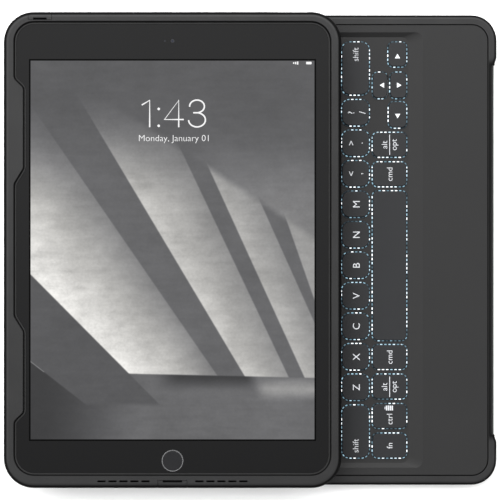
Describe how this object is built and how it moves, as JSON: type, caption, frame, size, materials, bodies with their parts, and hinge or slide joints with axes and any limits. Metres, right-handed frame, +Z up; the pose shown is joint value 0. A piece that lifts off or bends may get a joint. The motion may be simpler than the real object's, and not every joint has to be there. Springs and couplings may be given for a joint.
{
  "type": "tablet keyboard case",
  "caption": "Rugged tablet case on a keyboard base with a folding stand cover; soft rim, dashed light round the keys, tablet held in the case.",
  "frame": {"origin": "on the ground, under the middle of the whole object's box, lying flat with the tablet on top", "axes": "+Z up, +X towards the person who types (palm rest side), +Y along the rows of keys towards the arrow keys"},
  "size_m": [0.2724, 0.2618, 0.0281],
  "materials": {
    "key_plastic": "fine matte keycap",
    "base_plastic": "moulded, fine texture",
    "soft_rim": "satin soft-touch elastomer",
    "deck_plastic": "soft-touch matte",
    "hinge_plastic": "moulded, fine texture",
    "pin_steel": "ground rod",
    "sheet_steel": "rolled sheet",
    "light_guide": "clear diffusing sheet",
    "dome_rubber": "translucent silicone",
    "board_green": "solder mask",
    "cell_wrap": "foil pouch",
    "port_metal": "drawn shell",
    "switch_plastic": "moulded",
    "magnet_nickel": "nickel plated",
    "screw_steel": "black oxide",
    "foot_rubber": "matte",
    "cover_plastic": "woven-look soft cover",
    "case_plastic": "moulded, fine texture",
    "tablet_aluminium": "bead blasted, dark grey",
    "tablet_glass": "cover glass over black mask and lit screen",
    "display": "screen module",
    "ring_metal": "machined ring",
    "home_button": "polished cover",
    "camera_lens": "polished lens"
  },
  "bodies": {
    "base": {"base_shell": "base_plastic", "base_bumper": "soft_rim", "deck_plate": "deck_plastic", "hinge_rail": "hinge_plastic", "rear_hinge_pin": "pin_steel", "key_support_plate": "sheet_steel", "key_light_guide": "light_guide", "dome_sheet": "dome_rubber", "controller_board": "board_green", "battery_cells": "cell_wrap", "charge_port": "port_metal", "base_magnets": "magnet_nickel", "base_screws": "screw_steel", "rubber_feet": "foot_rubber"},
    "lower_cover": {"lower_panel": "cover_plastic", "crease_hinge_pin": "pin_steel"},
    "upper_cover": {"upper_panel": "cover_plastic", "panel_magnets": "magnet_nickel"},
    "tablet_case": {"case_shell": "case_plastic", "case_bumper": "soft_rim", "case_keeper_plate": "sheet_steel", "tablet_housing": "tablet_aluminium", "tablet_glass": "tablet_glass", "tablet_display": "display", "home_ring": "ring_metal", "front_camera": "camera_lens", "rear_camera": "camera_lens"},
    "port_flap": {"port_cover": "soft_rim"},
    "jack_flap": {"jack_cover": "soft_rim"},
    "power_button": {"power_cover": "soft_rim"},
    "volume_up": {"volume_up_cover": "soft_rim"},
    "volume_down": {"volume_down_cover": "soft_rim"},
    "home": {"home_button": "home_button"},
    "switch": {"power_switch": "switch_plastic"},
    "alt_left_key": {"key_alt_left": "key_plastic"},
    "alt_right_key": {"key_alt_right": "key_plastic"},
    "arrow_down_key": {"key_arrow_down": "key_plastic"},
    "arrow_left_key": {"key_arrow_left": "key_plastic"},
    "arrow_right_key": {"key_arrow_right": "key_plastic"},
    "arrow_up_key": {"key_arrow_up": "key_plastic"},
    "b_key": {"key_b": "key_plastic"},
    "c_key": {"key_c": "key_plastic"},
    "comma_key": {"key_comma": "key_plastic"},
    "command_left_key": {"key_command_left": "key_plastic"},
    "command_right_key": {"key_command_right": "key_plastic"},
    "control_key": {"key_control": "key_plastic"},
    "function_key": {"key_function": "key_plastic"},
    "m_key": {"key_m": "key_plastic"},
    "n_key": {"key_n": "key_plastic"},
    "period_key": {"key_period": "key_plastic"},
    "shift_left_key": {"key_shift_left": "key_plastic"},
    "shift_right_key": {"key_shift_right": "key_plastic"},
    "slash_key": {"key_slash": "key_plastic"},
    "space_key": {"key_space": "key_plastic"},
    "v_key": {"key_v": "key_plastic"},
    "x_key": {"key_x": "key_plastic"},
    "z_key": {"key_z": "key_plastic"},
    "number_row": {"number_row_keys": "key_plastic"},
    "upper_row": {"upper_row_keys": "key_plastic"},
    "home_row": {"home_row_keys": "key_plastic"}
  },
  "joints": [
    {"name": "stand_fold", "type": "hinge", "parent": "base", "child": "lower_cover", "pos_m": [-0.04645, 0, 0.0095], "axis": [0, -1, 0], "range_deg": [0, 70]},
    {"name": "crease_fold", "type": "hinge", "parent": "lower_cover", "child": "upper_cover", "pos_m": [0, 0, 0.01275], "axis": [0, 1, 0], "range_deg": [0, 140]},
    {"name": "case_lift", "type": "slide", "parent": "upper_cover", "child": "tablet_case", "axis": [0, 0, 1], "range_m": [0, 0.06]},
    {"name": "port_cover_hinge", "type": "hinge", "parent": "tablet_case", "child": "port_flap", "pos_m": [-0.04365, -0.1293, 0.0198], "axis": [1, 0, 0], "range_deg": [0, 85], "stiffness_Nm_per_rad": 0.01},
    {"name": "jack_cover_hinge", "type": "hinge", "parent": "tablet_case", "child": "jack_flap", "pos_m": [-0.11605, 0.1293, 0.0198], "axis": [-1, 0, 0], "range_deg": [0, 85], "stiffness_Nm_per_rad": 0.01},
    {"name": "power_press", "type": "slide", "parent": "tablet_case", "child": "power_button", "axis": [0, -1, 0], "range_m": [0, 0.0005], "stiffness_N_per_m": 6000},
    {"name": "volume_up_press", "type": "slide", "parent": "tablet_case", "child": "volume_up", "axis": [-1, 0, 0], "range_m": [0, 0.0005], "stiffness_N_per_m": 6000},
    {"name": "volume_down_press", "type": "slide", "parent": "tablet_case", "child": "volume_down", "axis": [-1, 0, 0], "range_m": [0, 0.0005], "stiffness_N_per_m": 6000},
    {"name": "home_press", "type": "slide", "parent": "tablet_case", "child": "home", "axis": [0, 0, -1], "range_m": [0, 0.00025], "stiffness_N_per_m": 4000},
    {"name": "switch_slide", "type": "slide", "parent": "base", "child": "switch", "axis": [1, 0, 0], "range_m": [0, 0.0035]},
    {"name": "key_alt_left_press", "type": "slide", "parent": "base", "child": "alt_left_key", "axis": [0, 0, -1], "range_m": [0, 0.0012], "stiffness_N_per_m": 500},
    {"name": "key_alt_right_press", "type": "slide", "parent": "base", "child": "alt_right_key", "axis": [0, 0, -1], "range_m": [0, 0.0012], "stiffness_N_per_m": 500},
    {"name": "key_arrow_down_press", "type": "slide", "parent": "base", "child": "arrow_down_key", "axis": [0, 0, -1], "range_m": [0, 0.0012], "stiffness_N_per_m": 500},
    {"name": "key_arrow_left_press", "type": "slide", "parent": "base", "child": "arrow_left_key", "axis": [0, 0, -1], "range_m": [0, 0.0012], "stiffness_N_per_m": 500},
    {"name": "key_arrow_right_press", "type": "slide", "parent": "base", "child": "arrow_right_key", "axis": [0, 0, -1], "range_m": [0, 0.0012], "stiffness_N_per_m": 500},
    {"name": "key_arrow_up_press", "type": "slide", "parent": "base", "child": "arrow_up_key", "axis": [0, 0, -1], "range_m": [0, 0.0012], "stiffness_N_per_m": 500},
    {"name": "key_b_press", "type": "slide", "parent": "base", "child": "b_key", "axis": [0, 0, -1], "range_m": [0, 0.0012], "stiffness_N_per_m": 500},
    {"name": "key_c_press", "type": "slide", "parent": "base", "child": "c_key", "axis": [0, 0, -1], "range_m": [0, 0.0012], "stiffness_N_per_m": 500},
    {"name": "key_comma_press", "type": "slide", "parent": "base", "child": "comma_key", "axis": [0, 0, -1], "range_m": [0, 0.0012], "stiffness_N_per_m": 500},
    {"name": "key_command_left_press", "type": "slide", "parent": "base", "child": "command_left_key", "axis": [0, 0, -1], "range_m": [0, 0.0012], "stiffness_N_per_m": 500},
    {"name": "key_command_right_press", "type": "slide", "parent": "base", "child": "command_right_key", "axis": [0, 0, -1], "range_m": [0, 0.0012], "stiffness_N_per_m": 500},
    {"name": "key_control_press", "type": "slide", "parent": "base", "child": "control_key", "axis": [0, 0, -1], "range_m": [0, 0.0012], "stiffness_N_per_m": 500},
    {"name": "key_function_press", "type": "slide", "parent": "base", "child": "function_key", "axis": [0, 0, -1], "range_m": [0, 0.0012], "stiffness_N_per_m": 500},
    {"name": "key_m_press", "type": "slide", "parent": "base", "child": "m_key", "axis": [0, 0, -1], "range_m": [0, 0.0012], "stiffness_N_per_m": 500},
    {"name": "key_n_press", "type": "slide", "parent": "base", "child": "n_key", "axis": [0, 0, -1], "range_m": [0, 0.0012], "stiffness_N_per_m": 500},
    {"name": "key_period_press", "type": "slide", "parent": "base", "child": "period_key", "axis": [0, 0, -1], "range_m": [0, 0.0012], "stiffness_N_per_m": 500},
    {"name": "key_shift_left_press", "type": "slide", "parent": "base", "child": "shift_left_key", "axis": [0, 0, -1], "range_m": [0, 0.0012], "stiffness_N_per_m": 500},
    {"name": "key_shift_right_press", "type": "slide", "parent": "base", "child": "shift_right_key", "axis": [0, 0, -1], "range_m": [0, 0.0012], "stiffness_N_per_m": 500},
    {"name": "key_slash_press", "type": "slide", "parent": "base", "child": "slash_key", "axis": [0, 0, -1], "range_m": [0, 0.0012], "stiffness_N_per_m": 500},
    {"name": "key_space_press", "type": "slide", "parent": "base", "child": "space_key", "axis": [0, 0, -1], "range_m": [0, 0.0012], "stiffness_N_per_m": 500},
    {"name": "key_v_press", "type": "slide", "parent": "base", "child": "v_key", "axis": [0, 0, -1], "range_m": [0, 0.0012], "stiffness_N_per_m": 500},
    {"name": "key_x_press", "type": "slide", "parent": "base", "child": "x_key", "axis": [0, 0, -1], "range_m": [0, 0.0012], "stiffness_N_per_m": 500},
    {"name": "key_z_press", "type": "slide", "parent": "base", "child": "z_key", "axis": [0, 0, -1], "range_m": [0, 0.0012], "stiffness_N_per_m": 500},
    {"name": "number_row_keys_press", "type": "slide", "parent": "base", "child": "number_row", "axis": [0, 0, -1], "range_m": [0, 0.0012], "stiffness_N_per_m": 5833.3},
    {"name": "upper_row_keys_press", "type": "slide", "parent": "base", "child": "upper_row", "axis": [0, 0, -1], "range_m": [0, 0.0012], "stiffness_N_per_m": 5833.3},
    {"name": "home_row_keys_press", "type": "slide", "parent": "base", "child": "home_row", "axis": [0, 0, -1], "range_m": [0, 0.0012], "stiffness_N_per_m": 5833.3}
  ],
  "couplings": [
    {"joint": "crease_fold", "follows": "stand_fold", "ratio": 2}
  ]
}
